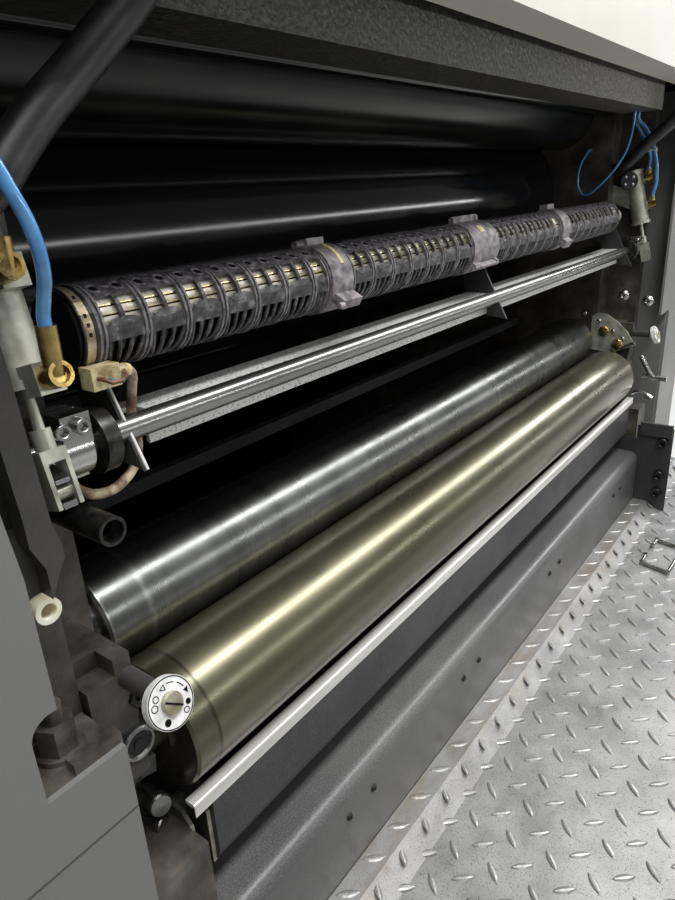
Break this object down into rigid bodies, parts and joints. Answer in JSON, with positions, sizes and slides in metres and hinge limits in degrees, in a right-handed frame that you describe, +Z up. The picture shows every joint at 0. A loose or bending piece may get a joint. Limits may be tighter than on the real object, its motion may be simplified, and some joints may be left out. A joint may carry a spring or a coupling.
{
  "type": "printing unit of a sheet-fed offset press",
  "caption": "Printing unit of an offset press with its guard open: plate cylinder, damping rollers over a water pan, a swing frame with a slatted tube, covers and a footboard.",
  "frame": {"origin": "on the floor, under the middle of the unit and its footboard", "axes": "+X along the rollers to the drive side, +Y from the footboard into the machine, +Z up"},
  "size_m": [1.6, 1.38, 1.75],
  "materials": {
    "grey_enamel": "satin",
    "pale_enamel": "satin",
    "dark_casting": "rough",
    "hammered_paint": "hammered",
    "dark_enamel": "fine texture",
    "black_gloss": "gloss",
    "black_rubber": "semi-gloss",
    "dark_chrome": "polished",
    "olive_chrome": "satin, wet film",
    "bright_steel": "polished",
    "aluminium": "brushed",
    "tread_plate": "galvanised",
    "zinc": "cast",
    "brass": "worn",
    "slat_brass": "dull",
    "sleeve_plastic": "dusty",
    "hose_blue": "translucent",
    "cream_plastic": "satin",
    "beige_plastic": "dusty"
  },
  "bodies": {
    "frame": {"base_plinth": "dark_casting", "left_side_frame": "dark_casting", "right_side_frame": "dark_casting", "left_housing": "grey_enamel", "right_housing": "grey_enamel", "left_front_cover": "grey_enamel", "right_front_cover": "grey_enamel", "rear_panel": "grey_enamel", "upper_housing": "pale_enamel", "upper_crossbeam": "hammered_paint", "guard_tube": "dark_enamel", "water_pan": "dark_enamel", "pan_lip": "aluminium", "pan_end_plates": "aluminium", "sill_cover": "dark_enamel", "lower_crossbeam": "dark_casting", "footboard": "tread_plate", "footboard_supports": "dark_enamel", "pivot_bearings": "dark_casting", "left_air_cylinder": "zinc", "right_air_cylinder": "zinc", "lower_guard_bar": "dark_enamel", "roller_carriers": "dark_casting", "adjusting_dials": "bright_steel", "bearing_plate": "zinc", "right_mounting_plate": "dark_enamel", "notch_bracket": "dark_casting", "hook_bar": "dark_casting", "cover_bush": "cream_plastic", "handle_tube": "black_gloss", "lifting_handle": "bright_steel", "air_fittings": "brass", "left_air_hose": "hose_blue", "left_black_hose": "black_rubber", "right_black_hose": "black_rubber", "right_air_hose_front": "hose_blue", "right_air_hose_back": "hose_blue", "thin_air_hose": "hose_blue"},
    "swing_frame": {"pivot_tube": "bright_steel", "angle_bar": "aluminium", "swing_brackets": "dark_enamel", "slatted_core": "slat_brass", "left_outer_sleeve": "sleeve_plastic", "left_inner_sleeve": "sleeve_plastic", "right_inner_sleeve": "sleeve_plastic", "right_outer_sleeve": "sleeve_plastic", "sleeve_clamps": "sleeve_plastic", "core_end_ring": "brass", "left_lever": "bright_steel", "right_lever": "bright_steel", "core_end_disc": "black_gloss", "connector_block": "beige_plastic", "sensor_cable": "beige_plastic"},
    "plate_cylinder": {"plate_cylinder": "black_gloss", "plate_clamps": "bright_steel"},
    "form_roller": {"form_roller": "black_rubber"},
    "metering_roller": {"metering_roller": "dark_chrome"},
    "pan_roller": {"pan_roller": "olive_chrome"},
    "left_rod": {"left_rod": "zinc"},
    "right_rod": {"right_rod": "zinc"}
  },
  "joints": [
    {"name": "plate_cylinder_spin", "type": "hinge", "parent": "frame", "child": "plate_cylinder", "pos_m": [0, 0.112, 0.86], "axis": [1, 0, 0], "continuous": true},
    {"name": "form_roller_spin", "type": "hinge", "parent": "frame", "child": "form_roller", "pos_m": [0, -0.02513, 1.00004], "axis": [1, 0, 0], "continuous": true},
    {"name": "pan_roller_spin", "type": "hinge", "parent": "frame", "child": "pan_roller", "pos_m": [0, -0.148, 0.548], "axis": [1, 0, 0], "continuous": true},
    {"name": "metering_roller_spin", "type": "hinge", "parent": "frame", "child": "metering_roller", "pos_m": [0, -0.07565, 0.60722], "axis": [1, 0, 0], "continuous": true},
    {"name": "swing", "type": "hinge", "parent": "frame", "child": "swing_frame", "pos_m": [0, -0.15, 0.768], "axis": [-1, 0, 0], "range_deg": [0, 35]},
    {"name": "left_rod_slide", "type": "slide", "parent": "frame", "child": "left_rod", "axis": [0, 0.2419, 0.9703], "range_m": [0, 0.0115]},
    {"name": "right_rod_slide", "type": "slide", "parent": "frame", "child": "right_rod", "axis": [0, 0.2419, 0.9703], "range_m": [0, 0.0115]}
  ],
  "couplings": [
    {"joint": "form_roller_spin", "follows": "plate_cylinder_spin", "ratio": -2.25},
    {"joint": "metering_roller_spin", "follows": "pan_roller_spin", "ratio": -1.1264},
    {"joint": "left_rod_slide", "follows": "swing", "m_per_rad": 0.018591},
    {"joint": "right_rod_slide", "follows": "swing", "m_per_rad": 0.018591}
  ]
}
